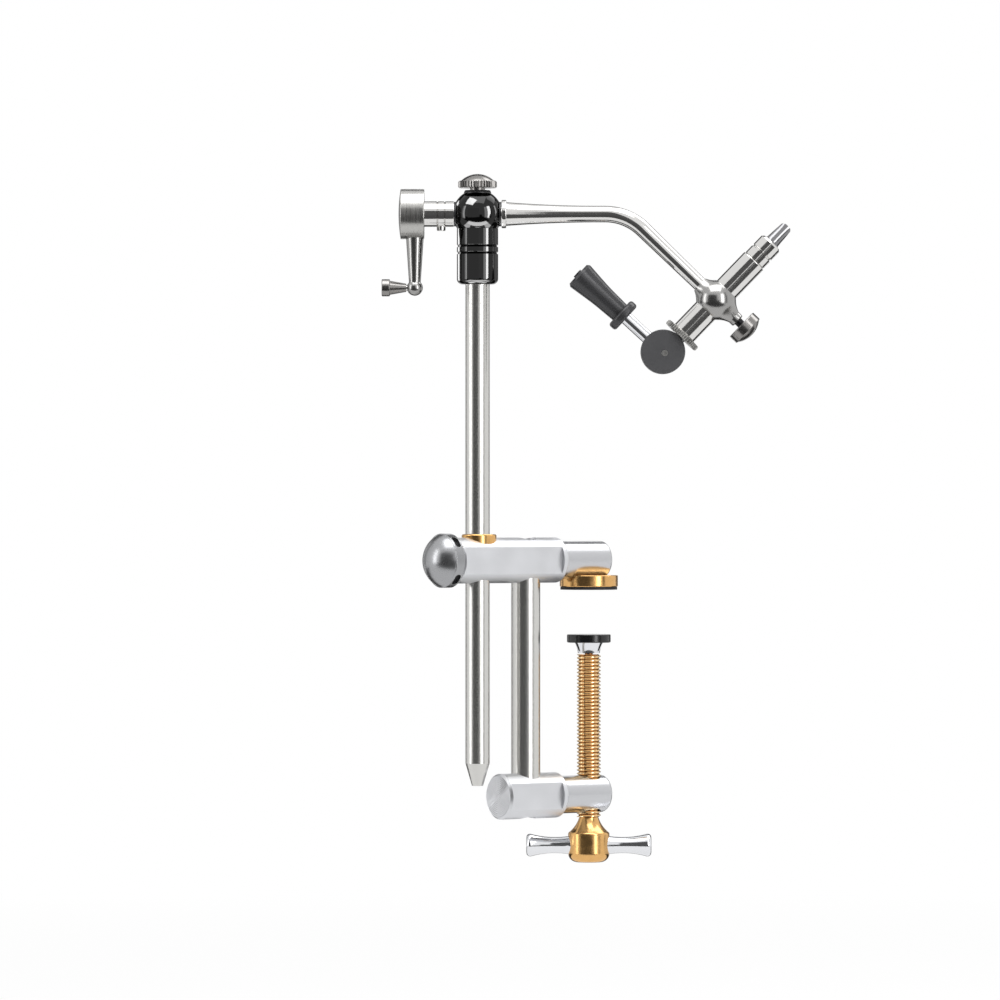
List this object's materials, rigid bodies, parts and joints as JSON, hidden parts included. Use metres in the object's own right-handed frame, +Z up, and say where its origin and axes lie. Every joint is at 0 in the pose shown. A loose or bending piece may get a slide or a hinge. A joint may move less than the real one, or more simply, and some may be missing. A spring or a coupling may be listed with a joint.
{
  "type": "fly tying vise",
  "caption": "Rotary vise for tying fishing flies: a table clamp carries a round stem, and a cranked head on it turns a bent arm with cam-closed hook jaws.",
  "frame": {"origin": "centre of the upper pad's rubber face, on the plane of the table top that it rests on", "axes": "+Z up along the stem, +X the way the jaws point, +Y away from the picture's viewer; the clamp bars run at 36 degrees to X, towards +Y"},
  "size_m": [0.1675, 0.0653, 0.2841],
  "materials": {
    "blasted_aluminium": "satin, bead blasted, with polished narrow ends",
    "satin_steel": "satin, fine lengthwise grain",
    "polished_steel": "mirror polished",
    "bright_chrome": "mirror bright",
    "brushed_steel": "turned, fine circular grain",
    "black_chrome": "deep black gloss",
    "brass": "polished",
    "black_rubber": "matt",
    "black_anodised": "satin black",
    "black_acetal": "satin",
    "pewter_steel": "dull grey",
    "tool_steel": "ground, dark",
    "black_oxide": "black oxide",
    "machine_steel": "turned"
  },
  "bodies": {
    "clamp_frame": {"upper_clamp_bar": "blasted_aluminium", "stem_ferrule": "brass", "lower_clamp_bar": "blasted_aluminium", "clamp_column": "satin_steel", "upper_column_bolt": "black_oxide", "lower_column_bolt": "black_oxide", "upper_pad_disc": "brass", "upper_pad_face": "black_rubber", "upper_pad_screw": "black_oxide"},
    "lock_knob": {"stem_lock_knob": "bright_chrome", "knob_ring": "black_rubber", "knob_washer": "brushed_steel"},
    "lock_plunger": {"stem_lock_plunger": "brass", "stem_lock_stud": "black_oxide"},
    "clamp_pad": {"swivel_cup": "bright_chrome", "lower_pad_face": "black_acetal"},
    "screw_and_handle": {"clamp_screw": "brass", "handle_hub": "brass", "left_handle_bar": "bright_chrome", "right_handle_bar": "bright_chrome"},
    "stem": {"stem": "satin_steel"},
    "head": {"head_housing": "black_chrome", "left_bush": "black_acetal", "right_bush": "black_acetal", "tension_seat": "black_acetal", "brake_shoe": "black_acetal", "socket_set_screw": "black_oxide"},
    "brake_knob": {"tension_knob": "bright_chrome", "tension_screw": "black_oxide"},
    "rotor": {"rotary_shaft": "machine_steel", "shaft_collar": "polished_steel", "collar_set_screw": "machine_steel", "crank_hub": "brushed_steel", "crank_arm": "polished_steel", "crank_pin": "polished_steel", "bent_arm": "polished_steel", "jaw_holder": "polished_steel"},
    "crank_grip": {"crank_knob": "bright_chrome"},
    "barrel_lock": {"thumb_knob": "pewter_steel", "thumb_screw": "black_oxide"},
    "barrel": {"jaw_barrel": "polished_steel", "nose_sleeve": "polished_steel", "jaw_spring": "tool_steel"},
    "ring": {"adjusting_ring": "pewter_steel"},
    "drawbar": {"drawbar": "tool_steel", "cam_pin": "machine_steel"},
    "front_jaw": {"front_jaw": "tool_steel"},
    "rear_jaw": {"rear_jaw": "tool_steel"},
    "cam_lever": {"cam_disc": "black_anodised", "lever_rod": "bright_chrome", "lever_grip": "black_anodised"}
  },
  "joints": [
    {"name": "stem_lock_turn", "type": "hinge", "parent": "clamp_frame", "child": "lock_knob", "pos_m": [-0.05906, -0.04291, 0.0124], "axis": [0.809, 0.5878, 0], "range_deg": [-360, 0]},
    {"name": "plunger_slide", "type": "slide", "parent": "clamp_frame", "child": "lock_plunger", "axis": [0.809, 0.5878, 0], "range_m": [0, 0.0012]},
    {"name": "pad_slide", "type": "slide", "parent": "clamp_frame", "child": "clamp_pad", "axis": [0, 0, 1], "range_m": [-0.0501, 0]},
    {"name": "screw_turn", "type": "hinge", "parent": "clamp_pad", "child": "screw_and_handle", "pos_m": [0, 0, -0.06], "axis": [0, 0, 1], "range_deg": [-12000, 0]},
    {"name": "stem_slide", "type": "slide", "parent": "clamp_frame", "child": "stem", "axis": [0, 0, 1], "range_m": [-0.1, 0.06]},
    {"name": "head_swivel", "type": "hinge", "parent": "stem", "child": "head", "pos_m": [-0.04611, -0.0335, 0.1344], "axis": [0, 0, 1], "continuous": true},
    {"name": "brake_turn", "type": "hinge", "parent": "head", "child": "brake_knob", "pos_m": [-0.04611, -0.0335, 0.1664], "axis": [0, 0, 1], "range_deg": [-360, 0]},
    {"name": "rotary_spin", "type": "hinge", "parent": "head", "child": "rotor", "pos_m": [-0.04611, -0.0335, 0.1544], "axis": [1, 0, 0], "continuous": true},
    {"name": "crank_knob_spin", "type": "hinge", "parent": "rotor", "child": "crank_grip", "pos_m": [-0.07811, -0.0335, 0.1242], "axis": [1, 0, 0], "continuous": true},
    {"name": "thumb_turn", "type": "hinge", "parent": "rotor", "child": "barrel_lock", "pos_m": [0.06317, -0.0335, 0.10807], "axis": [-0.7193, 0, 0.6947], "range_deg": [0, 360]},
    {"name": "barrel_slide", "type": "slide", "parent": "rotor", "child": "barrel", "axis": [0.6947, 0, 0.7193], "range_m": [-0.01, 0.01]},
    {"name": "ring_turn", "type": "hinge", "parent": "barrel", "child": "ring", "pos_m": [0.03776, -0.0335, 0.10479], "axis": [0.6947, 0, 0.7193], "range_deg": [-180, 180]},
    {"name": "drawbar_slide", "type": "slide", "parent": "barrel", "child": "drawbar", "axis": [0.6947, 0, 0.7193], "range_m": [0, 0.00091]},
    {"name": "cam_turn", "type": "hinge", "parent": "drawbar", "child": "cam_lever", "pos_m": [0.03054, -0.0335, 0.09731], "axis": [0, -1, 0], "range_deg": [0, 90]},
    {"name": "front_jaw_tilt", "type": "hinge", "parent": "drawbar", "child": "front_jaw", "pos_m": [0.06138, -0.0349, 0.12925], "axis": [-0.7193, 0, 0.6947], "range_deg": [-0.71, 0]},
    {"name": "rear_jaw_tilt", "type": "hinge", "parent": "drawbar", "child": "rear_jaw", "pos_m": [0.06138, -0.0321, 0.12925], "axis": [-0.7193, 0, 0.6947], "range_deg": [0, 0.71]}
  ],
  "couplings": [
    {"joint": "plunger_slide", "follows": "stem_lock_turn", "m_per_rad": -0.00015915},
    {"joint": "pad_slide", "follows": "screw_turn", "m_per_rad": 0.00023873},
    {"joint": "drawbar_slide", "follows": "cam_turn", "m_per_rad": 0.00057296},
    {"joint": "front_jaw_tilt", "follows": "cam_turn", "ratio": -0.0077778},
    {"joint": "rear_jaw_tilt", "follows": "cam_turn", "ratio": 0.0077778}
  ]
}
